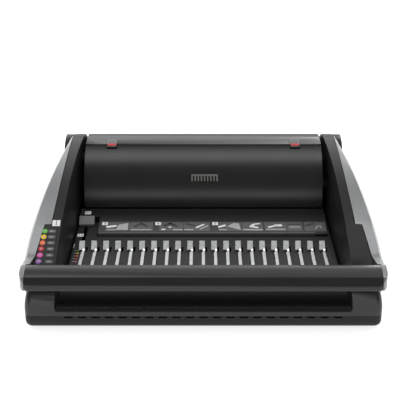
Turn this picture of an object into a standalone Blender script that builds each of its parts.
"""Comb binding machine: a manual desktop punch and binder for 21-ring plastic combs.

Metres, +X right, +Y towards the back, +Z up. The origin is under the middle of the machine, on the desk.
Distances from the front face of the base are called depths, and at() turns a depth into a Y.
"""
import math

import bmesh
import bpy
from mathutils import Vector

# --- Driving dimensions -------------------------------------------------------------------------
COMB_PITCH = 0.0142875      # nine sixteenths of an inch, the standard pitch of plastic combs
COMB_RINGS = 21
GAP = 0.0003                # between pieces that touch
RUN = 0.0008                # between pieces that move past each other
WALL = 0.0025               # moulded casings

BASE_DEPTH = 0.312
SIDE_WIDTH = 0.0466         # from the deck's edge to the base's side
TOP_HEIGHT = 0.1412         # highest point of the cheeks
REAR_DROP = 0.041           # of the cheeks' top from there to the back wall
FOOT_DROP = 0.002
SEAM_HEIGHT = 0.0175        # joint between pan and housing
SHOULDER_HEIGHT = 0.050     # top of the base housing
DECK_HEIGHT = 0.060
DECK_FRONT = 0.034
CHEEK_FRONT = 0.0305        # the cheeks reach a little further forward than the deck
CORNER_RADIUS = 0.008
BULGE_HEIGHT = 0.024        # where the base is widest
FRONT_LEAN = 0.008          # of the base's front from there up to the shoulder
SIDE_LEAN = 0.0045          # of its sides and back

PIVOT_DEPTH = 0.270
PIVOT_HEIGHT = 0.101
HUB_RADIUS = 0.033
SHAFT_RADIUS = 0.007
HUB_WIDTH = 0.012
HANDLE_TRAVEL = math.radians(95)

BAR_FRONT = -0.006
BAR_BACK = 0.024
BAR_BOTTOM = 0.0522
BAR_TOP = 0.0725
BAR_INSET = 0.0034          # of the handle bar's end from the base's side
BAR_CORNER = 0.006
TIP_CORNER = 0.014
ARM_SKIN = 0.006            # of the arm past the bar's end
ARM_CHAMFER = 0.0026        # along its outer top edge
ARM_REAR = 0.243            # behind this depth the arm runs straight to its hub
ARM_WAIST = 0.085           # in front of it the arm's inside no longer bows

RECESS_DEPTH = 0.024
RECESS_BOTTOM = 0.026
RECESS_LIP = 0.0042         # round edge along its floor
RECESS_END = 0.0349         # from the recess to the base's side
RECESS_SPLAY = 0.0055       # of its ends, which close in towards the back

PANEL_FRONT = 0.1185
PANEL_BACK = 0.177
PANEL_STEP = 0.0033
PANEL_BACK_HEIGHT = 0.0695

COVER_FRONT = 0.180
COVER_FOOT = 0.070
THROAT_SEAM = 0.224         # front edge of the flap
THROAT_FRONT = 0.2262       # the paper's front side
THROAT_WIDTH = 0.0032
THROAT_MOUTH = 0.0050
CREST_DEPTH = 0.250         # where the cheeks are highest
FLAP_THICKNESS = 0.0024
HINGE_DEPTH = 0.288
HINGE_RADIUS = 0.0032
PIN_RADIUS = 0.0019
DIE_THICKNESS = 0.005
PUNCH_HEIGHT = 0.068
PUNCH_STROKE = 0.007

GEAR_MODULE = 0.002
GEAR_TEETH = 16
GEAR_WIDTH = 0.005

HOOK_THICKNESS = 0.0015
STEM_WIDTH = 0.0036
NECK_WIDTH = 0.0024
HEAD_WIDTH = 0.0068
HEAD_LENGTH = 0.0118
STEM_FRONT = 0.040
STEM_BACK = 0.073
HEAD_FOOT = 0.0792
LEG_FRONT = 0.0665
LEG_BACK = 0.0715
CARRIAGE_BOTTOM = 0.0462
CARRIAGE_THICKNESS = 0.0025

DRAWER_FRONT = 0.150
DRAWER_BACK = 0.212
DRAWER_BOTTOM = 0.0206
DRAWER_TOP = 0.0392

# --- Sizes worked out from them ----------------------------------------------------------------
CENTRE_DEPTH = (BASE_DEPTH + BAR_FRONT) / 2
DECK_HALF = COMB_PITCH * COMB_RINGS / 2 + 0.007
COVER_HALF = DECK_HALF - 0.005
FRAME_OUT = COVER_HALF - 0.002
FRAME_IN = FRAME_OUT - 0.003
CAM_IN = FRAME_IN - 0.035
LATCH_X = FRAME_IN - 0.029
BASE_HALF = DECK_HALF + SIDE_WIDTH
BAR_HALF = BASE_HALF - BAR_INSET
GEAR_RADIUS = GEAR_MODULE * GEAR_TEETH / 2
GEAR_IN = DECK_HALF + WALL + 0.0025
GEAR_OUT = GEAR_IN + GEAR_WIDTH
CHEEK_OUT = GEAR_OUT + 0.001 + WALL
ARM_IN = CHEEK_OUT + RUN
HUB_OUT = ARM_IN + HUB_WIDTH
HOOK_TRAVEL = GEAR_RADIUS * HANDLE_TRAVEL
SEAM_TOP = TOP_HEIGHT - 0.0034
NOTCH_DEPTH = 0.0787
LEFT = -1
RIGHT = 1
SIDES = ((LEFT, "left"), (RIGHT, "right"))

BUSHING_RADIUS = SHAFT_RADIUS + 0.003
BEAM_THICKNESS = 0.005
BEAM_BACK = THROAT_FRONT + THROAT_WIDTH + 0.0065 + PUNCH_STROKE + BEAM_THICKNESS
PUNCH_HALF_WIDTH = COMB_PITCH / 2 - 0.0032
PUNCH_HALF = 0.00145
RACK_TOP = CARRIAGE_BOTTOM - GAP
RACK_BOTTOM = RACK_TOP - 0.0055
LATCH_HALF = 0.0057
LATCH_DEPTH = 0.012
LATCH_TRAVEL = 0.0010
LATCH_BOTTOM = TOP_HEIGHT - 0.0006
SELECTOR_DEPTH = 0.1505
SELECTOR_REACH = 0.006
SELECTOR_TRAVEL = 0.045


def at(depth):
    """The Y of a depth behind the base's front face."""
    return depth - CENTRE_DEPTH


# --- Scene, materials and shared tools ---------------------------------------------------------
def clear_scene():
    for obj in list(bpy.data.objects):
        bpy.data.objects.remove(obj, do_unlink=True)


def new_collection(name):
    made = bpy.data.collections.new(name)
    bpy.context.scene.collection.children.link(made)
    return made


def material(name, colour, roughness, metallic=0.0):
    made = bpy.data.materials.new(name)
    made.use_nodes = True
    shader = made.node_tree.nodes["Principled BSDF"]
    shader.inputs["Base Color"].default_value = (*colour, 1.0)
    shader.inputs["Roughness"].default_value = roughness
    shader.inputs["Metallic"].default_value = metallic
    return made


def keep(obj, finish):
    """Put a finished piece in the machine's collection with its finish."""
    PARTS.objects.link(obj)
    obj.data.materials.clear()
    obj.data.materials.append(finish)
    obj.data.shade_smooth()
    obj.data.set_sharp_from_angle(angle=math.radians(35))
    return obj


def helper(obj):
    """Keep a cutter or a joined shape out of the finished machine."""
    CUTTERS.objects.link(obj)
    obj.hide_render = True
    obj.display_type = "WIRE"
    return obj


def combine(target, other, operation):
    """Cut another shape from a piece, or join it on."""
    modifier = target.modifiers.new(f"{operation.lower()} {other.name}", "BOOLEAN")
    modifier.operation = operation
    modifier.object = other
    return target


def cut(target, other):
    return combine(target, other, "DIFFERENCE")


def join(target, other):
    return combine(target, other, "UNION")


def from_bmesh(name, bm, place=(0, 0, 0)):
    mesh = bpy.data.meshes.new(name)
    bm.to_mesh(mesh)
    bm.free()
    made = bpy.data.objects.new(name, mesh)
    made.location = place
    return made


def bmesh_box(bm, low, high):
    low, high = Vector(low), Vector(high)
    verts = bmesh.ops.create_cube(bm, size=1.0)["verts"]
    bmesh.ops.scale(bm, vec=high - low, verts=verts)
    bmesh.ops.translate(bm, vec=(low + high) / 2, verts=verts)
    return verts


def box(name, low, high):
    """A block between two corners, its origin at its middle."""
    bm = bmesh.new()
    half = (Vector(high) - Vector(low)) / 2
    bmesh_box(bm, -half, half)
    return from_bmesh(name, bm, (Vector(low) + Vector(high)) / 2)


def sided(side, x_in, x_out):
    """The low and high X of a piece that lies between two distances from the middle plane."""
    return min(side * x_in, side * x_out), max(side * x_in, side * x_out)


def side_box(name, side, x_in, x_out, low, high):
    """A block on one side of the machine; low and high are (depth, height)."""
    x_low, x_high = sided(side, x_in, x_out)
    return box(name, (x_low, at(low[0]), low[1]), (x_high, at(high[0]), high[1]))


def rounded_box(name, low, high, upright_radius, rim_radius, rim_at_top):
    """A block with round upright corners and a round rim along its top or its bottom."""
    made = box(name, low, high)
    bm = bmesh.new()
    bm.from_mesh(made.data)
    upright = [e for e in bm.edges if abs(e.verts[0].co.z - e.verts[1].co.z) > 1e-6]
    bmesh.ops.bevel(bm, geom=upright, offset=upright_radius, segments=4, profile=0.5, affect="EDGES",
                    material=-1)
    level = max(v.co.z for v in bm.verts) * (1 if rim_at_top else -1)
    rim = [e for e in bm.edges if all(abs(v.co.z - level) < 1e-6 for v in e.verts)]
    bmesh.ops.bevel(bm, geom=rim, offset=rim_radius, segments=3, profile=0.5, affect="EDGES", material=-1)
    bm.to_mesh(made.data)
    bm.free()
    return made


def rod(name, radius, x_low, x_high, depth, height, sides=32):
    """A round bar along X."""
    bm = bmesh.new()
    bmesh.ops.create_cone(bm, cap_ends=True, segments=sides, radius1=radius, radius2=radius,
                          depth=x_high - x_low)
    made = from_bmesh(name, bm, ((x_low + x_high) / 2, at(depth), height))
    made.rotation_euler = (0, math.radians(90), 0)
    return made


def plate(name, outline, thickness):
    """A flat outline with a thickness, made as a filled curve and then a welded mesh."""
    curve = bpy.data.curves.new(name, "CURVE")
    curve.dimensions = "2D"
    curve.fill_mode = "BOTH"
    curve.extrude = thickness / 2
    spline = curve.splines.new("POLY")
    spline.points.add(len(outline) - 1)
    for point, (u, v) in zip(spline.points, outline):
        point.co = (u, v, 0, 1)
    spline.use_cyclic_u = True
    drawn = bpy.data.objects.new(name + " outline", curve)
    bpy.context.scene.collection.objects.link(drawn)
    graph = bpy.context.evaluated_depsgraph_get()
    mesh = bpy.data.meshes.new_from_object(drawn.evaluated_get(graph))
    bpy.data.objects.remove(drawn, do_unlink=True)
    bm = bmesh.new()
    bm.from_mesh(mesh)
    bmesh.ops.remove_doubles(bm, verts=bm.verts, dist=1e-6)
    bmesh.ops.recalc_face_normals(bm, faces=bm.faces)
    bmesh.ops.dissolve_limit(bm, angle_limit=math.radians(0.5), verts=bm.verts, edges=bm.edges)
    bpy.data.meshes.remove(mesh)
    return from_bmesh(name, bm)


def side_plate(name, outline, x_low, x_high):
    """A plate across the machine; its outline is a list of (depth, height)."""
    made = plate(name, [(at(depth), height) for depth, height in outline], x_high - x_low)
    made.rotation_euler = (math.radians(90), 0, math.radians(90))
    made.location = ((x_low + x_high) / 2, 0, 0)
    return made


def arc(centre, radius, start, end, steps):
    """Points on an arc, from one angle to another in degrees."""
    angles = [math.radians(start + (end - start) * i / steps) for i in range(steps + 1)]
    return [(centre[0] + radius * math.cos(a), centre[1] + radius * math.sin(a)) for a in angles]


def loft(name, rings):
    """A skin over a row of sections with as many points each, closed at both ends."""
    bm = bmesh.new()
    rows = [[bm.verts.new(point) for point in ring] for ring in rings]
    count = len(rows[0])
    for near, far in zip(rows, rows[1:]):
        for i in range(count):
            j = (i + 1) % count
            bm.faces.new((near[i], near[j], far[j], far[i]))
    bm.faces.new(rows[0])
    bm.faces.new(rows[-1])
    bmesh.ops.recalc_face_normals(bm, faces=bm.faces)
    bmesh.ops.triangulate(bm, faces=bm.faces)
    return from_bmesh(name, bm)


def steps_between(start, end, count):
    return [start + (end - start) * i / count for i in range(count + 1)]


def pivot(name, depth, height, x=0.0):
    """An empty on a joint's axis, which the moving pieces hang from."""
    made = bpy.data.objects.new(name, None)
    made.empty_display_size = 0.02
    made.location = (x, at(depth), height)
    PARTS.objects.link(made)
    return made


def hang(piece, from_pivot):
    piece.location = Vector(piece.location) - from_pivot.location
    piece.parent = from_pivot
    return piece


# --- Shared curves of the outside --------------------------------------------------------------
def crest(depth):
    """Height of the cheeks' top edge."""
    if depth <= CREST_DEPTH:
        front_height = 0.0676
        reach = (CREST_DEPTH - depth) / (CREST_DEPTH - DECK_FRONT)
        return TOP_HEIGHT - (TOP_HEIGHT - front_height) * reach ** 2
    return TOP_HEIGHT - REAR_DROP * ((depth - CREST_DEPTH) / (BASE_DEPTH - CREST_DEPTH)) ** 2


def arm_inside(depth):
    """X of the arm's inner face behind its notch."""
    arm_bow = 0.007
    reach = (ARM_REAR - min(depth, ARM_REAR)) / (ARM_REAR - ARM_WAIST)
    return ARM_IN + arm_bow * min(reach, 1.0) ** 2


def arm_front_inside(depth):
    """X of the arm's inner face in front of its notch."""
    at_notch = BAR_HALF - 0.0137
    at_deck = BAR_HALF - 0.0052
    return at_notch + (at_deck - at_notch) * (NOTCH_DEPTH - depth) / (NOTCH_DEPTH - DECK_FRONT)


def arm_outside(depth):
    """X of the arm's outer edge along its top: nearly straight in plan, fuller towards the front."""
    rear = ARM_IN + 0.002
    front = BAR_HALF + ARM_SKIN
    fullness = 0.026
    reach = min((ARM_REAR - depth) / (ARM_REAR - BAR_BACK), 1.0)
    return rear + (front - rear) * reach + fullness * reach ** 3 * (1 - reach)


def cheek_inside(depth):
    """X of the cheek's inner top edge, which leans outwards towards the front."""
    lean = 0.0124
    return DECK_HALF + lean * (CREST_DEPTH - min(depth, CREST_DEPTH)) / (CREST_DEPTH - DECK_FRONT)


def bar_outline(grow=0.0, foot_radius=0.0035):
    """Section of the handle bar: a top that slopes forwards, a steep front and a round lower edge."""
    middle = ((BAR_FRONT + BAR_BACK) / 2, (BAR_BOTTOM + BAR_TOP) / 2)
    outline = arc((BAR_BACK - 0.004, BAR_TOP - 0.004), 0.004, 0, 90, 3)
    outline += [(BAR_FRONT + 0.0190, BAR_TOP - 0.0009), (BAR_FRONT + 0.0070, BAR_TOP - 0.0050)]
    outline += [(BAR_FRONT + 0.0041, BAR_TOP - 0.0086), (BAR_FRONT + 0.0012, BAR_TOP - 0.0127)]
    outline += arc((BAR_FRONT + foot_radius, BAR_BOTTOM + foot_radius), foot_radius, 176, 270, 5)
    outline += arc((BAR_BACK - 0.006, BAR_BOTTOM + 0.006), 0.006, 270, 360, 3)
    if not grow:
        return outline
    return [(u + math.copysign(grow, u - middle[0]), v + math.copysign(grow, v - middle[1]))
            for u, v in outline]


def hinge_height():
    return crest(HINGE_DEPTH) - HINGE_RADIUS


def notch_radius():
    """Distance from the pivot at which the arm steps outwards, just short of the cheek's wide front."""
    return math.hypot(PIVOT_DEPTH - NOTCH_DEPTH, PIVOT_HEIGHT - crest(NOTCH_DEPTH)) - RUN


def cover_circle():
    """Centre and radius of the punch cover's front, upright at its foot and ending at the seam."""
    run = THROAT_SEAM - COVER_FRONT
    rise = SEAM_TOP - COVER_FOOT
    radius = (run * run + rise * rise) / (2 * run)
    return (COVER_FRONT + radius, COVER_FOOT), radius


# --- Base ---------------------------------------------------------------------------------------
def build_pan():
    low = (-BASE_HALF, at(0), FOOT_DROP)
    high = (BASE_HALF, at(BASE_DEPTH), SEAM_HEIGHT - GAP)
    pan = rounded_box("base_pan", low, high, CORNER_RADIUS, CORNER_RADIUS - 0.001, rim_at_top=False)
    inside = rounded_box("pan hollow", (low[0] + WALL, low[1] + WALL, FOOT_DROP + WALL),
                         (high[0] - WALL, high[1] - WALL, SEAM_HEIGHT + 0.01),
                         CORNER_RADIUS - WALL, CORNER_RADIUS - WALL - 0.001, rim_at_top=False)
    cut(pan, helper(inside))
    slots = bmesh.new()
    slot_pitch = 0.0153
    slot_half = 0.00475
    for i in range(COMB_RINGS):
        x = (i - (COMB_RINGS - 1) / 2) * slot_pitch
        bmesh_box(slots, (x - slot_half, at(-0.005), SEAM_HEIGHT - 0.0022),
                  (x + slot_half, at(WALL + 0.002), SEAM_HEIGHT + 0.003))
    cut(pan, helper(from_bmesh("pan slots", slots)))
    feet = bmesh.new()
    for x, y in foot_places():
        verts = bmesh.ops.create_cone(feet, cap_ends=True, segments=24, radius1=0.0093, radius2=0.0093,
                                      depth=0.004)["verts"]
        bmesh.ops.translate(feet, vec=(x, y, FOOT_DROP + 0.0015 - 0.002), verts=verts)
    cut(pan, helper(from_bmesh("foot seats", feet)))
    keep(pan, BLACK)


def foot_places():
    inset = 0.032
    return [(side * (BASE_HALF - inset), at(depth)) for depth in (inset, BASE_DEPTH - inset)
            for side in (LEFT, RIGHT)]


def build_feet():
    for number, (x, y) in enumerate(foot_places(), start=1):
        bm = bmesh.new()
        bmesh.ops.create_cone(bm, cap_ends=True, segments=24, radius1=0.0082, radius2=0.0090, depth=0.0032)
        keep(from_bmesh(f"foot_{number}", bm, (x, y, 0.0016)), RUBBER)


def lean(height, full):
    """How far the base's skin stands in from its widest outline at a height."""
    reach = max(height - BULGE_HEIGHT, 0.0) / (SHOULDER_HEIGHT - BULGE_HEIGHT)
    return full * reach ** 1.7


def housing_ring(height, wall, rim):
    """Outline of the base at a height, inside its skin by a wall and rounded over by a rim."""
    side = BASE_HALF - lean(height, SIDE_LEAN) - wall - rim
    front = at(0) + lean(height, FRONT_LEAN) + wall + rim
    back = at(BASE_DEPTH) - lean(height, SIDE_LEAN) - wall - rim
    radius = max(CORNER_RADIUS - wall - rim / 2, 0.002)
    ring = []
    for x, y, start in ((side, back, 0), (-side, back, 90), (-side, front, 180), (side, front, 270)):
        centre = (x - math.copysign(radius, x), y - math.copysign(radius, y))
        ring += [(px, py, height) for px, py in arc(centre, radius, start, start + 90, 4)]
    return ring


def housing_skin(name, foot, top, wall, rim_radius):
    """The base's rounded body, or the hollow that leaves a wall inside it."""
    heights = [foot] + steps_between(BULGE_HEIGHT, top - rim_radius, 9)
    rings = [housing_ring(height, wall, 0.0) for height in heights]
    for angle in (30, 60, 85):
        turn = math.radians(angle)
        rings.append(housing_ring(top - rim_radius * (1 - math.sin(turn)), wall,
                                  rim_radius * (1 - math.cos(turn))))
    return loft(name, rings)


def recess_floor(depth):
    """Height of the finger recess: a round lip in front, then a scoop that sweeps up to its back."""
    drop = 0.0030
    if depth < RECESS_LIP:
        return RECESS_BOTTOM - drop * (1 - depth / RECESS_LIP) ** 2
    radius = RECESS_DEPTH - RECESS_LIP
    return RECESS_BOTTOM + radius - math.sqrt(max(radius ** 2 - (depth - RECESS_LIP) ** 2, 0.0))


def recess_cutter():
    rings = []
    corner = 0.0030
    top = SHOULDER_HEIGHT + 0.02
    depths = [-0.02] + steps_between(0.0, RECESS_LIP, 5)
    depths += steps_between(RECESS_LIP, RECESS_DEPTH - 0.0004, 8)[1:]
    for depth in depths:
        half = BASE_HALF - RECESS_END - RECESS_SPLAY * max(depth, 0.0) / RECESS_DEPTH
        floor = recess_floor(max(depth, 0.0))
        cut_back = corner * 0.3
        ring = [(-half, top), (-half, floor + corner), (-half + cut_back, floor + cut_back)]
        ring += [(-half + corner, floor), (half - corner, floor), (half - cut_back, floor + cut_back)]
        ring += [(half, floor + corner), (half, top)]
        rings.append([(x, at(depth), z) for x, z in ring])
    return helper(loft("finger recess", rings))


def build_housing():
    housing = housing_skin("base_housing", SEAM_HEIGHT, SHOULDER_HEIGHT, 0.0, CORNER_RADIUS - 0.003)
    ceiling = SHOULDER_HEIGHT - WALL
    recess_half = BASE_HALF - RECESS_END
    behind_recess = at(RECESS_DEPTH + WALL)
    hollow = housing_skin("housing hollow", 0.0, ceiling, WALL, CORNER_RADIUS - 0.003 - WALL)
    keep_front = box("solid front", (-BASE_HALF, at(-0.01), -0.01), (BASE_HALF, behind_recess, 0.06))
    cut(hollow, helper(keep_front))
    cut(housing, helper(hollow))
    ends = bmesh.new()
    corner_wall = WALL + FRONT_LEAN
    for side in (LEFT, RIGHT):
        x_low, x_high = sided(side, recess_half + WALL, BASE_HALF - SIDE_LEAN - WALL - 0.003)
        bmesh_box(ends, (x_low, at(corner_wall), 0.0), (x_high, behind_recess + 0.012, ceiling - 0.004))
    cut(housing, helper(from_bmesh("post hollows", ends)))
    under = box("hollow under recess", (-recess_half - 0.01, at(WALL), 0.0),
                (recess_half + 0.01, behind_recess + 0.01, RECESS_BOTTOM - 0.0025 - WALL))
    cut(housing, helper(under))
    cut(housing, recess_cutter())
    well = box("housing well", (-CHEEK_OUT + 0.002, at(DECK_FRONT + 0.004), 0.03),
               (CHEEK_OUT - 0.002, at(BASE_DEPTH - 0.006), 0.06))
    cut(housing, helper(well))
    door = box("drawer doorway", (BASE_HALF - 0.01, at(DRAWER_FRONT) - RUN, DRAWER_BOTTOM - RUN),
               (BASE_HALF + 0.01, at(DRAWER_BACK) + RUN, DRAWER_TOP + RUN))
    cut(housing, helper(door))
    keep(housing, BLACK)


def build_deck():
    half = DECK_HALF - 0.0006
    deck = box("deck_plate", (-half, at(DECK_FRONT), SHOULDER_HEIGHT + GAP),
               (half, at(COVER_FRONT + 0.002), DECK_HEIGHT))
    bm = bmesh.new()
    bm.from_mesh(deck.data)
    top = max(v.co.z for v in bm.verts)
    front_edges = [e for e in bm.edges if all(abs(v.co.z - top) < 1e-6 for v in e.verts)]
    bmesh.ops.bevel(bm, geom=front_edges, offset=0.0012, segments=2, profile=0.5, affect="EDGES",
                    material=-1)
    bm.to_mesh(deck.data)
    bm.free()
    lip = 0.002
    under = box("deck underside", (-half + lip, at(DECK_FRONT + lip), 0.04),
                (half - lip, at(COVER_FRONT), DECK_HEIGHT - WALL))
    cut(deck, helper(under))
    slots = bmesh.new()
    slot_half = 0.0014
    for x in hook_places():
        bmesh_box(slots, (x - slot_half, at(LEG_FRONT - HOOK_TRAVEL - 0.0012), 0.05),
                  (x + slot_half, at(LEG_BACK + RUN), 0.07))
        left = x + STEM_WIDTH / 2 + GAP
        bmesh_box(slots, (left, at(STEM_BACK + 0.004), 0.05), (left + 0.0024, at(HEAD_FOOT + 0.010), 0.07))
    x = selector_place()
    bmesh_box(slots, (x - 0.0023, at(SELECTOR_DEPTH - SELECTOR_TRAVEL - 0.0055), 0.05),
              (x + 0.0023, at(SELECTOR_DEPTH + 0.0055), 0.07))
    cut(deck, helper(from_bmesh("deck slots", slots)))
    keep(deck, BLACK)


def build_instruction_panel():
    """Sloping guide panel; its left end stays behind the opening selector."""
    base = DECK_HEIGHT + GAP
    front_height = DECK_HEIGHT + PANEL_STEP
    outline = [(PANEL_FRONT, base), (PANEL_BACK, base), (PANEL_BACK, PANEL_BACK_HEIGHT)]
    outline += [(PANEL_FRONT + 0.001, front_height), (PANEL_FRONT, front_height - 0.0008)]
    left_end = -DECK_HALF + 0.0016
    panel = side_plate("instruction_panel", outline, left_end, DECK_HALF - 0.004)
    bay_back = at(SELECTOR_DEPTH + SELECTOR_REACH + 0.002)
    selector_bay = box("selector bay", (left_end - 0.01, at(PANEL_FRONT - 0.01), DECK_HEIGHT - 0.01),
                       (-DECK_HALF + 0.0265, bay_back, PANEL_BACK_HEIGHT + 0.01))
    keep(cut(panel, helper(selector_bay)), BLACK)


def cheek_ring(side, depth, wall, foot):
    """Section of a cheek at a depth, or of the hollow that leaves a wall inside it."""
    outside = arm_inside(depth) - RUN
    if depth <= NOTCH_DEPTH - wall:
        outside = arm_front_inside(depth) - 0.001
    top = crest(depth) - wall * 1.2
    ring = [(DECK_HALF + wall, foot), (cheek_inside(depth) + wall, top), (outside - wall, top),
            (outside - wall, foot)]
    return [(side * x, at(depth), z) for x, z in ring]


def cheek_depths(wall):
    """Where a cheek's sections are taken: closer together at the notch for the handle's arm."""
    notch = NOTCH_DEPTH - wall
    depths = steps_between(CHEEK_FRONT + wall, notch, 4) + [notch + 0.0008]
    depths += steps_between(0.100, CREST_DEPTH, 8)
    return depths + steps_between(CREST_DEPTH + 0.02, BASE_DEPTH - 0.0005 - wall, 3)


def build_cheeks():
    """Side casings: open underneath, with the pinions and racks inside them."""
    for side, word in SIDES:
        foot = SHOULDER_HEIGHT + GAP
        cheek = loft(f"{word}_cheek", [cheek_ring(side, depth, 0.0, foot) for depth in cheek_depths(0.0)])
        hollow = [cheek_ring(side, depth, WALL, foot - 0.02) for depth in cheek_depths(WALL)]
        cut(cheek, helper(loft(f"{word} cheek hollow", hollow)))
        x_low, x_high = sided(side, DECK_HALF - 0.01, HUB_OUT)
        cut(cheek, helper(rod(f"{word} cheek shaft hole", SHAFT_RADIUS + 0.002, x_low, x_high,
                              PIVOT_DEPTH, PIVOT_HEIGHT)))
        keep(cheek, BLACK)


def build_size_panel():
    """Guide to comb sizes: a thin plate on the left cheek's wide front end."""
    rings = []
    for depth in steps_between(CHEEK_FRONT + 0.001, NOTCH_DEPTH - 0.0027, 5):
        inner = cheek_inside(depth) + 0.0028
        outer = arm_front_inside(depth) - 0.0016
        low = crest(depth) + GAP
        ring = [(inner, low), (inner, low + 0.0007), (outer, low + 0.0007), (outer, low)]
        rings.append([(LEFT * x, at(depth), z) for x, z in ring])
    keep(loft("comb_size_panel", rings), BLACK)


# --- Punch housing --------------------------------------------------------------------------------
def build_punch_cover():
    centre, radius = cover_circle()
    end = math.degrees(math.atan2(SEAM_TOP - centre[1], THROAT_SEAM - GAP - centre[0]))
    outline = arc(centre, radius, 180, end, 20)
    outline += arc(centre, radius - WALL, end, 180, 20)
    cover = side_plate("punch_cover", outline, -COVER_HALF, COVER_HALF)
    for side, word in SIDES:
        x_low, x_high = sided(side, LATCH_X - LATCH_HALF - RUN, LATCH_X + LATCH_HALF + RUN)
        notch = box(f"{word} latch notch", (x_low, at(THROAT_SEAM - 0.005), SEAM_TOP - 0.0065),
                    (x_high, at(THROAT_SEAM + 0.01), TOP_HEIGHT + 0.01))
        cut(cover, helper(notch))
    keep(cover, BLACK)


def build_rear_cover():
    start = HINGE_DEPTH + HINGE_RADIUS + RUN
    top = [(depth, crest(depth) - 0.0004) for depth in steps_between(start, BASE_DEPTH - 0.006, 4)]
    back = BASE_DEPTH - 0.0005
    corner = [(back - 0.0015, top[-1][1] - 0.002), (back, top[-1][1] - 0.0055)]
    foot = SHOULDER_HEIGHT + GAP
    outer = top + corner + [(back, foot)]
    inner = [(back - WALL, foot), (back - WALL, corner[1][1] - 0.001)]
    inner += [(depth - 0.001, height - WALL) for depth, height in reversed(top[1:])]
    inner += [(start, top[0][1] - WALL)]
    half = DECK_HALF - 0.0006
    cover = side_plate("rear_cover", outer + inner, -half, half)
    ears = bmesh.new()
    for side in (LEFT, RIGHT):
        x_low, x_high = sided(side, COVER_HALF + GAP, half - 0.0005)
        bmesh_box(ears, (x_low, at(HINGE_DEPTH - 0.004), hinge_height() - 0.004),
                  (x_high, at(start + 0.006), hinge_height() + 0.0028))
    join(cover, helper(from_bmesh("hinge ears", ears)))
    pins = rod("hinge pin holes", PIN_RADIUS + GAP, -DECK_HALF, DECK_HALF, HINGE_DEPTH, hinge_height(), 16)
    cut(cover, helper(pins))
    keep(cover, BLACK)


def build_dies():
    front_low = THROAT_FRONT - DIE_THICKNESS
    throat_back = THROAT_FRONT + THROAT_WIDTH
    foot = DECK_HEIGHT
    front_top = SEAM_TOP - 0.0085
    outline = [(front_low, foot), (throat_back - GAP, foot), (throat_back - GAP, foot + 0.003)]
    outline += [(THROAT_FRONT, foot + 0.003), (THROAT_FRONT, front_top - 0.001)]
    outline += [(THROAT_FRONT - 0.001, front_top), (front_low, front_top)]
    front = side_plate("front_die", outline, -FRAME_IN + GAP, FRAME_IN - GAP)
    back = throat_back + 0.0065
    step = PUNCH_HEIGHT + 0.022
    outline = [(throat_back, foot), (back, foot), (back, SEAM_TOP - 0.004)]
    outline += [(THROAT_FRONT + THROAT_MOUTH, SEAM_TOP - 0.004), (THROAT_FRONT + THROAT_MOUTH, step + 0.003)]
    outline += [(throat_back, step)]
    rear = side_plate("rear_die", outline, -FRAME_IN + GAP, FRAME_IN - GAP)
    holes = bmesh.new()
    for x in hook_places():
        bmesh_box(holes, (x - PUNCH_HALF_WIDTH - GAP, at(0.2), PUNCH_HEIGHT - PUNCH_HALF - GAP),
                  (x + PUNCH_HALF_WIDTH + GAP, at(0.26), PUNCH_HEIGHT + PUNCH_HALF + GAP))
    holes = helper(from_bmesh("punch holes", holes))
    cut(front, holes)
    cut(rear, holes)
    keep(front, STEEL)
    keep(rear, STEEL)


def build_frames():
    for side, word in SIDES:
        front = THROAT_FRONT - DIE_THICKNESS - 0.004
        outline = [(front, 0.006), (0.300, 0.006)]
        outline += [(depth, crest(depth) - 0.007) for depth in (0.300, 0.290, 0.278, 0.264)]
        outline += [(0.236, SEAM_TOP - 0.008), (front, SEAM_TOP - 0.016)]
        x_low, x_high = sided(side, FRAME_IN, FRAME_OUT)
        frame = side_plate(f"{word}_frame", outline, x_low, x_high)
        hole = rod(f"{word} bushing hole", BUSHING_RADIUS + GAP, x_low - 0.01, x_high + 0.01,
                   PIVOT_DEPTH, PIVOT_HEIGHT, 24)
        cut(frame, helper(hole))
        keep(frame, STEEL)
        bushing = rod(f"{word}_bushing", BUSHING_RADIUS, x_low - 0.001, x_high + 0.001,
                      PIVOT_DEPTH, PIVOT_HEIGHT, 24)
        bore = rod(f"{word} bushing bore", SHAFT_RADIUS + 0.0001, x_low - 0.02, x_high + 0.02,
                   PIVOT_DEPTH, PIVOT_HEIGHT)
        cut(bushing, helper(bore))
        keep(bushing, BRONZE)


def build_cross_tie():
    """Steel channel that ties the two frames under the dies."""
    tie = box("cross_tie", (-FRAME_IN + GAP, at(0.262), 0.010), (FRAME_IN - GAP, at(0.292), 0.030))
    hollow = box("tie hollow", (-FRAME_IN - 0.01, at(0.264), 0.012), (FRAME_IN + 0.01, at(0.290), 0.040))
    keep(cut(tie, helper(hollow)), STEEL)


def build_guides():
    """Channels on the pan that the racks run in."""
    for side, word in SIDES:
        wall = 0.0016
        inner = GEAR_IN - wall - RUN
        outer = GEAR_OUT + wall + RUN
        guide = side_box(f"{word}_rack_guide", side, inner, outer,
                         (0.100, FOOT_DROP + WALL + GAP), (0.130, RACK_BOTTOM + 0.003))
        slot = side_box(f"{word} guide slot", side, GEAR_IN - RUN, GEAR_OUT + RUN,
                        (0.09, RACK_BOTTOM - GAP), (0.14, RACK_BOTTOM + 0.02))
        keep(cut(guide, helper(slot)), NYLON)


def build_hinge_pins():
    for side, word in SIDES:
        x_low, x_high = sided(side, COVER_HALF - 0.014, DECK_HALF - 0.0015)
        keep(rod(f"{word}_hinge_pin", PIN_RADIUS, x_low, x_high, HINGE_DEPTH, hinge_height(), 16), STEEL)


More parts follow.
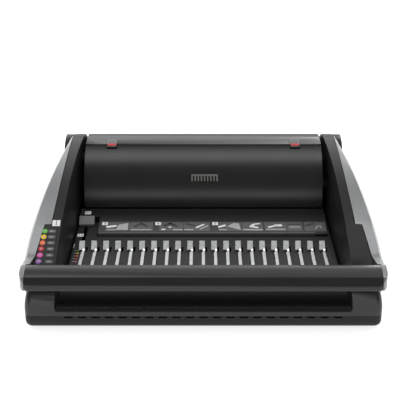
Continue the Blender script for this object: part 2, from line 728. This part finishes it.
def coil(name, radius, wire, x_low, x_high, turns, depth, height):
    """A spring wound round an axis along X."""
    curve = bpy.data.curves.new(name, "CURVE")
    curve.dimensions = "3D"
    curve.bevel_depth = wire / 2
    curve.bevel_resolution = 1
    curve.use_fill_caps = True
    points_per_turn = 12
    count = turns * points_per_turn + 1
    spline = curve.splines.new("POLY")
    spline.points.add(count - 1)
    for i, point in enumerate(spline.points):
        angle = 2 * math.pi * i / points_per_turn
        x = x_low + (x_high - x_low) * i / (count - 1)
        point.co = (x, radius * math.cos(angle), radius * math.sin(angle), 1)
    made = bpy.data.objects.new(name, curve)
    made.location = (0, at(depth), height)
    PARTS.objects.link(made)
    curve.materials.append(STEEL)
    return made


def build_springs():
    for side, word in SIDES:
        x_low, x_high = sided(side, FRAME_IN - 0.016, FRAME_IN - 0.002)
        coil(f"{word}_handle_spring", SHAFT_RADIUS + 0.0028, 0.0018, x_low, x_high, 4,
             PIVOT_DEPTH, PIVOT_HEIGHT)


# --- Handle ---------------------------------------------------------------------------------------
def arm_ring(side, depth):
    """Section of an arm: flat top, chamfered shoulder, and a flank that reaches out to the hub."""
    top = max(crest(depth), BAR_TOP)
    first_rise = 0.030
    full_rise = 0.034
    reach = min(max((depth - first_rise) / (ARM_REAR - first_rise), 0.0), 1.0)
    bottom = BAR_BOTTOM + full_rise * math.sin(reach * math.pi / 2)
    inner = arm_inside(depth) if depth > NOTCH_DEPTH - 0.0012 else arm_front_inside(depth)
    outer = arm_outside(depth)
    chamfer = min(ARM_CHAMFER, outer - inner - 0.0006)
    flank = max(outer, HUB_OUT)
    waist = top - 0.35 * (top - bottom)
    ring = [(inner, bottom), (inner, top), (outer - chamfer, top), (outer, top - chamfer),
            (flank + 0.0001, waist), (flank + 0.0001, bottom)]
    return [(side * x, at(depth), z) for x, z in ring]


def corner_limit(name, half, corner):
    """A block as wide as the handle, with round front corners in plan, that the handle's pieces stay in."""
    centre = (half - corner, at(BAR_FRONT) + corner)
    right = arc(centre, corner, -90, 0, 6)
    outline = [(half, at(BASE_DEPTH)), (-half, at(BASE_DEPTH))]
    outline += [(-x, y) for x, y in reversed(right)] + right
    return plate(name, outline, 0.4)


def build_arms(from_pivot):
    for side, word in SIDES:
        depths = [BAR_BACK - 0.005] + steps_between(DECK_FRONT, NOTCH_DEPTH - 0.0017, 7)
        depths += [NOTCH_DEPTH - 0.0007] + steps_between(ARM_WAIST, CREST_DEPTH, 9)
        arm = loft(f"{word}_arm", [arm_ring(side, depth) for depth in depths])
        x_low, x_high = sided(side, BAR_HALF + GAP, BAR_HALF + ARM_SKIN)
        tip = side_plate(f"{word} arm tip", bar_outline(), x_low, x_high)
        join(arm, helper(tip))
        pivot_point = (PIVOT_DEPTH, PIVOT_HEIGHT)
        notch = arc(pivot_point, notch_radius(), 160, 215, 12) + arc(pivot_point, 0.300, 215, 160, 6)
        x_low, x_high = sided(side, DECK_HALF, arm_front_inside(NOTCH_DEPTH) + 0.0002)
        cut(arm, helper(side_plate(f"{word} arm notch", notch, x_low, x_high)))
        x_low, x_high = sided(side, DECK_HALF, BAR_HALF + 0.05)
        seat = rod(f"{word} hub seat", HUB_RADIUS + GAP, x_low, x_high, PIVOT_DEPTH, PIVOT_HEIGHT, 64)
        cut(arm, helper(seat))
        x_low, x_high = sided(side, DECK_HALF, BAR_HALF + GAP)
        cut(arm, helper(side_plate(f"{word} bar seat", bar_outline(0.0006), x_low, x_high)))
        limit = corner_limit(f"{word} arm corner", BAR_HALF + ARM_SKIN, TIP_CORNER)
        combine(arm, helper(limit), "INTERSECT")
        hang(keep(arm, SILVER), from_pivot)


def build_hubs(from_pivot):
    for side, word in SIDES:
        x_low, x_high = sided(side, ARM_IN, HUB_OUT)
        hub = rod(f"{word}_hub", HUB_RADIUS, x_low, x_high, PIVOT_DEPTH, PIVOT_HEIGHT, 64)
        bore = rod(f"{word} hub bore", SHAFT_RADIUS + GAP, x_low - 0.01, x_high + 0.01,
                   PIVOT_DEPTH, PIVOT_HEIGHT)
        cut(hub, helper(bore))
        hang(keep(hub, BLACK), from_pivot)


def involute_gear(name, x_low, x_high):
    """A spur gear round the pivot, with a bore for the shaft."""
    pressure = math.radians(20)
    base = GEAR_RADIUS * math.cos(pressure)
    tip = GEAR_RADIUS + 0.9 * GEAR_MODULE
    root = GEAR_RADIUS - 1.2 * GEAR_MODULE
    backlash = 0.0005
    tooth = math.pi / (2 * GEAR_TEETH) - backlash / GEAR_RADIUS / 2
    lean_at_pitch = math.tan(pressure) - pressure
    outline = []
    for i in range(GEAR_TEETH):
        middle = 2 * math.pi * i / GEAR_TEETH - math.pi / 2
        flank = []
        for radius in steps_between(max(base, root), tip, 3):
            turn = math.acos(min(base / radius, 1.0))
            flank.append((radius, tooth + lean_at_pitch - (math.tan(turn) - turn)))
        flank.insert(0, (root, flank[0][1]))
        for radius, half in flank:
            outline.append((radius, middle - half))
        for radius, half in reversed(flank):
            outline.append((radius, middle + half))
    points = [(PIVOT_DEPTH + r * math.cos(a), PIVOT_HEIGHT + r * math.sin(a)) for r, a in outline]
    gear = side_plate(name, points, x_low, x_high)
    bore = rod(f"{name} bore", SHAFT_RADIUS + GAP, x_low - 0.01, x_high + 0.01, PIVOT_DEPTH, PIVOT_HEIGHT)
    return cut(gear, helper(bore))


def build_drive(from_pivot):
    shaft = rod("drive_shaft", SHAFT_RADIUS, -HUB_OUT + 0.001, HUB_OUT - 0.001, PIVOT_DEPTH, PIVOT_HEIGHT)
    hang(keep(shaft, STEEL), from_pivot)
    for side, word in SIDES:
        x_low, x_high = sided(side, GEAR_IN, GEAR_OUT)
        hang(keep(involute_gear(f"{word}_pinion", x_low, x_high), STEEL), from_pivot)
        hang(keep(punch_cam(word, side), STEEL), from_pivot)


def punch_cam(word, side):
    """A spiral cam: its radius towards the beam falls evenly as the handle rises."""
    per_turn = PUNCH_STROKE / HANDLE_TRAVEL
    full = PIVOT_DEPTH - BEAM_BACK - 0.0012
    spare = math.radians(15)
    steps = 18
    outline = []
    for i in range(steps + 1):
        angle = -spare + (HANDLE_TRAVEL + 2 * spare) * i / steps
        outline.append((full - per_turn * angle, math.pi + angle))
    last = outline[-1][0]
    return_steps = 10
    for i in range(1, return_steps):
        share = i / return_steps
        angle = outline[steps][1] + (2 * math.pi - HANDLE_TRAVEL - 2 * spare) * share
        outline.append((last + (outline[0][0] - last) * share ** 2, angle))
    points = [(PIVOT_DEPTH + r * math.cos(a), PIVOT_HEIGHT + r * math.sin(a)) for r, a in outline]
    x_low, x_high = sided(side, CAM_IN, CAM_IN + 0.008)
    cam = side_plate(f"{word}_cam", points, x_low, x_high)
    bore = rod(f"{word} cam bore", SHAFT_RADIUS + GAP, x_low - 0.01, x_high + 0.01,
               PIVOT_DEPTH, PIVOT_HEIGHT)
    return cut(cam, helper(bore))


def build_handle():
    from_pivot = pivot("handle_pivot", PIVOT_DEPTH, PIVOT_HEIGHT)
    bar = side_plate("handle_bar", bar_outline(), -BAR_HALF, BAR_HALF)
    combine(bar, helper(corner_limit("bar corners", BAR_HALF, BAR_CORNER)), "INTERSECT")
    hang(keep(bar, BLACK), from_pivot)
    build_arms(from_pivot)
    build_hubs(from_pivot)
    build_drive(from_pivot)


# --- Hook carriage --------------------------------------------------------------------------------
def hook_places():
    return [(i - (COMB_RINGS - 1) / 2) * COMB_PITCH for i in range(COMB_RINGS)]


def add_hook(bm, x):
    """One hook: a flat stem, a narrow neck and a wide head that leans back at 45 degrees, all in line
    along their right edge."""
    foot = DECK_HEIGHT + GAP
    rise = HOOK_THICKNESS
    lean = HEAD_LENGTH / math.sqrt(2)
    neck_shift = (STEM_WIDTH - NECK_WIDTH) / 2
    head_shift = (STEM_WIDTH - HEAD_WIDTH) / 2
    places = [
        (STEM_FRONT, foot, STEM_WIDTH, 0.0),
        (STEM_BACK, foot, STEM_WIDTH, 0.0),
        (STEM_BACK + 0.0004, foot, NECK_WIDTH, neck_shift),
        (HEAD_FOOT - 0.0004, foot, NECK_WIDTH, neck_shift),
        (HEAD_FOOT, foot + 0.0006, HEAD_WIDTH, head_shift),
        (HEAD_FOOT + lean, foot + lean, HEAD_WIDTH * 0.94, head_shift),
    ]
    rows = []
    for depth, height, width, shift in places:
        back_off = 0.0 if depth <= HEAD_FOOT - 0.0004 else rise * 0.7
        left, right = x + shift - width / 2, x + shift + width / 2
        row = [(left, depth, height), (right, depth, height)]
        row += [(right, depth - back_off, height + rise - back_off * 0.3)]
        row += [(left, depth - back_off, height + rise - back_off * 0.3)]
        rows.append([bm.verts.new((px, at(d), z)) for px, d, z in row])
    for near, far in zip(rows, rows[1:]):
        for i in range(4):
            j = (i + 1) % 4
            bm.faces.new((near[i], near[j], far[j], far[i]))
    bm.faces.new(rows[0])
    bm.faces.new(rows[-1])


def build_hooks(from_pivot):
    reach = GEAR_OUT - 0.0005
    plate_low = (-reach, at(LEG_FRONT - 0.001), CARRIAGE_BOTTOM)
    comb = box("hook_comb", plate_low, (reach, at(LEG_BACK + 0.004), CARRIAGE_BOTTOM + CARRIAGE_THICKNESS))
    legs = bmesh.new()
    hooks = bmesh.new()
    for x in hook_places():
        bmesh_box(legs, (x - 0.0009, at(LEG_FRONT), CARRIAGE_BOTTOM + CARRIAGE_THICKNESS / 2),
                  (x + 0.0009, at(LEG_BACK), DECK_HEIGHT + GAP + HOOK_THICKNESS / 2))
        add_hook(hooks, x)
    bmesh.ops.recalc_face_normals(hooks, faces=hooks.faces)
    join(comb, helper(from_bmesh("hook legs", legs)))
    join(comb, helper(from_bmesh("hooks", hooks)))
    hang(keep(comb, STEEL), from_pivot)


def rack_outline():
    """Toothed bar under the pinion, a leg down behind the dies and a bar forward to the hooks."""
    pitch = math.pi * GEAR_MODULE
    pitch_line = PIVOT_HEIGHT - GEAR_RADIUS
    tip = pitch_line + 0.8 * GEAR_MODULE
    root = pitch_line - 1.15 * GEAR_MODULE
    slope = math.tan(math.radians(20))
    backlash = 0.0003
    half_at_pitch = pitch / 4 - backlash / 2
    half_at_tip = half_at_pitch - slope * (tip - pitch_line)
    half_at_root = half_at_pitch + slope * (pitch_line - root)
    teeth = []
    for i in range(-1, 5):
        middle = PIVOT_DEPTH + (i + 0.5) * pitch
        teeth += [(middle - half_at_root, root), (middle - half_at_tip, tip)]
        teeth += [(middle + half_at_tip, tip), (middle + half_at_root, root)]
    back = teeth[-1][0] + 0.0008
    leg_front = PIVOT_DEPTH - 0.031
    leg_back = leg_front + 0.012
    outline = [(LEG_FRONT - 0.001, RACK_BOTTOM), (leg_back, RACK_BOTTOM), (leg_back, root - 0.008)]
    outline += [(back, root - 0.008), (back, root)] + list(reversed(teeth))
    outline += [(leg_front, root), (leg_front, RACK_TOP), (LEG_FRONT - 0.001, RACK_TOP)]
    return outline


def build_carriage():
    from_pivot = pivot("carriage_slide", LEG_FRONT, CARRIAGE_BOTTOM)
    build_hooks(from_pivot)
    for side, word in SIDES:
        x_low, x_high = sided(side, GEAR_IN, GEAR_OUT)
        hang(keep(side_plate(f"{word}_rack", rack_outline(), x_low, x_high), STEEL), from_pivot)


# --- Punch beam -------------------------------------------------------------------------------------
def build_punches():
    from_pivot = pivot("punch_slide", BEAM_BACK, PUNCH_HEIGHT)
    half = FRAME_IN - 0.001
    beam = box("punch_beam", (-half, at(BEAM_BACK - BEAM_THICKNESS), PUNCH_HEIGHT + 0.006),
               (half, at(BEAM_BACK), PIVOT_HEIGHT + 0.008))
    hang(keep(beam, STEEL), from_pivot)
    holder_back = BEAM_BACK
    holder = box("punch_set", (-half, at(holder_back - BEAM_THICKNESS), PUNCH_HEIGHT - 0.006),
                 (half, at(holder_back), PUNCH_HEIGHT + 0.006 - GAP))
    pins = bmesh.new()
    for x in hook_places():
        bmesh_box(pins, (x - PUNCH_HALF_WIDTH, at(THROAT_FRONT - 0.0042), PUNCH_HEIGHT - PUNCH_HALF),
                  (x + PUNCH_HALF_WIDTH, at(holder_back - BEAM_THICKNESS / 2), PUNCH_HEIGHT + PUNCH_HALF))
    join(holder, helper(from_bmesh("punch pins", pins)))
    hang(keep(holder, STEEL), from_pivot)


# --- Flap, latches, edge guide ----------------------------------------------------------------------
def flap_top(depth):
    """Height of the flap: nearly level from the seam, then down with the cheeks' crest."""
    lead = 0.020
    ease = min((depth - THROAT_SEAM) / lead, 1.0)
    return min(TOP_HEIGHT - 0.0012 + 0.0012 * ease, crest(max(depth, CREST_DEPTH)))


def build_flap():
    from_pivot = pivot("flap_hinge", HINGE_DEPTH, hinge_height())
    depths = steps_between(THROAT_SEAM, HINGE_DEPTH, 10)
    outline = [(depth, flap_top(depth)) for depth in depths]
    outline += [(depth, flap_top(depth) - FLAP_THICKNESS) for depth in reversed(depths)]
    half = COVER_HALF - 0.0003
    flap = side_plate("paper_flap", outline, -half, half)
    barrel = rod("hinge barrel", HINGE_RADIUS, -half, half, HINGE_DEPTH, hinge_height(), 24)
    join(flap, helper(barrel))
    bore = rod("hinge bore", PIN_RADIUS + GAP, -half - 0.01, half + 0.01, HINGE_DEPTH, hinge_height(), 16)
    cut(flap, helper(bore))
    for side, word in SIDES:
        x_low, x_high = sided(side, LATCH_X - LATCH_HALF - 0.0004, LATCH_X + LATCH_HALF + 0.0004)
        pocket_floor = LATCH_BOTTOM - LATCH_TRAVEL - GAP - 0.0002
        pocket = box(f"{word} latch pocket", (x_low, at(THROAT_SEAM - 0.01), pocket_floor),
                     (x_high, at(THROAT_SEAM + LATCH_DEPTH + 0.0004), TOP_HEIGHT + 0.01))
        cut(flap, helper(pocket))
    hang(keep(flap, BLACK), from_pivot)
    build_latches(from_pivot)


def build_latches(flap_hinge):
    for side, word in SIDES:
        top = TOP_HEIGHT + 0.0006
        front = THROAT_SEAM - 0.0036
        back = THROAT_SEAM + LATCH_DEPTH
        outline = [(front, LATCH_BOTTOM - 0.0035), (front + 0.002, LATCH_BOTTOM - 0.0035)]
        outline += [(front + 0.002, LATCH_BOTTOM), (back, LATCH_BOTTOM), (back, top), (front + 0.003, top)]
        outline += [(front, top - 0.002)]
        x_low, x_high = sided(side, LATCH_X - LATCH_HALF, LATCH_X + LATCH_HALF)
        latch = side_plate(f"{word}_latch", outline, x_low, x_high)
        place = pivot(f"{word}_latch_slide", THROAT_SEAM, top, side * LATCH_X)
        hang(keep(latch, BLACK), place)
        hang(place, flap_hinge)


def build_edge_guide():
    place = pivot("edge_guide_slide", THROAT_FRONT, DECK_HEIGHT)
    x_low = -FRAME_IN + 0.0008
    guide = box("edge_guide", (x_low, at(THROAT_FRONT + 0.0005), DECK_HEIGHT + 0.012),
                (x_low + 0.0022, at(THROAT_FRONT + THROAT_WIDTH - 0.0004), SEAM_TOP - 0.004))
    hang(keep(guide, NYLON), place)


def selector_place():
    return -DECK_HALF + 0.0108


def build_selector():
    """Comb opening selector: a slanted grey cap that slides on the deck beside the panel."""
    x = selector_place()
    place = pivot("selector_slide", SELECTOR_DEPTH, DECK_HEIGHT, x)
    half = 0.0095
    base = DECK_HEIGHT + GAP
    front = SELECTOR_DEPTH - SELECTOR_REACH
    back = SELECTOR_DEPTH + SELECTOR_REACH
    outline = [(front, base), (back, base), (back, base + 0.0092), (back - 0.002, base + 0.0098)]
    outline += [(front, base + 0.0028)]
    cap = side_plate("opening_selector", outline, x - half, x + half)
    stalk = box("selector stalk", (x - 0.0015, at(SELECTOR_DEPTH - 0.004), DECK_HEIGHT - 0.006),
                (x + 0.0015, at(SELECTOR_DEPTH + 0.004), base + 0.002))
    join(cap, helper(stalk))
    hang(keep(cap, GREY), place)


# --- Chip drawer --------------------------------------------------------------------------------------
def build_drawer():
    place = pivot("drawer_slide", DRAWER_FRONT, DRAWER_BOTTOM, BASE_HALF)
    left_end = -FRAME_IN + 0.004
    drawer = box("chip_drawer", (left_end, at(DRAWER_FRONT), DRAWER_BOTTOM),
                 (BASE_HALF - 0.0026, at(DRAWER_BACK), DRAWER_TOP))
    wall = 0.0018
    hollow = box("drawer hollow", (left_end + wall, at(DRAWER_FRONT) + wall, DRAWER_BOTTOM + wall),
                 (BASE_HALF - 0.0026 - wall, at(DRAWER_BACK) - wall, DRAWER_TOP + 0.01))
    hang(keep(cut(drawer, helper(hollow)), BLACK), place)
    front = box("drawer_front", (BASE_HALF - 0.0023, at(DRAWER_FRONT), DRAWER_BOTTOM),
                (BASE_HALF - 0.0001, at(DRAWER_BACK), DRAWER_TOP))
    scoop = rod("drawer grip", 0.010, BASE_HALF - 0.0012, BASE_HALF + 0.02,
                (DRAWER_FRONT + DRAWER_BACK) / 2, DRAWER_TOP + 0.002, 24)
    hang(keep(cut(front, helper(scoop)), BLACK), place)


# --- Build -------------------------------------------------------------------------------------------
clear_scene()
PARTS = new_collection("comb_binding_machine")
CUTTERS = new_collection("cutters")
BLACK = material("black plastic", (0.022, 0.022, 0.024), 0.38)
SILVER = material("silver plastic", (0.52, 0.53, 0.54), 0.35, 0.3)
GREY = material("grey plastic", (0.09, 0.09, 0.095), 0.45)
STEEL = material("zinc plated steel", (0.62, 0.63, 0.64), 0.32, 1.0)
BRONZE = material("sintered bronze", (0.55, 0.38, 0.2), 0.45, 1.0)
NYLON = material("natural nylon", (0.55, 0.54, 0.5), 0.5)
RUBBER = material("black rubber", (0.015, 0.015, 0.015), 0.8)

build_pan()
build_feet()
build_housing()
build_deck()
build_instruction_panel()
build_cheeks()
build_size_panel()
build_punch_cover()
build_rear_cover()
build_dies()
build_frames()
build_cross_tie()
build_guides()
build_hinge_pins()
build_springs()
build_handle()
build_carriage()
build_punches()
build_flap()
build_edge_guide()
build_selector()
build_drawer()
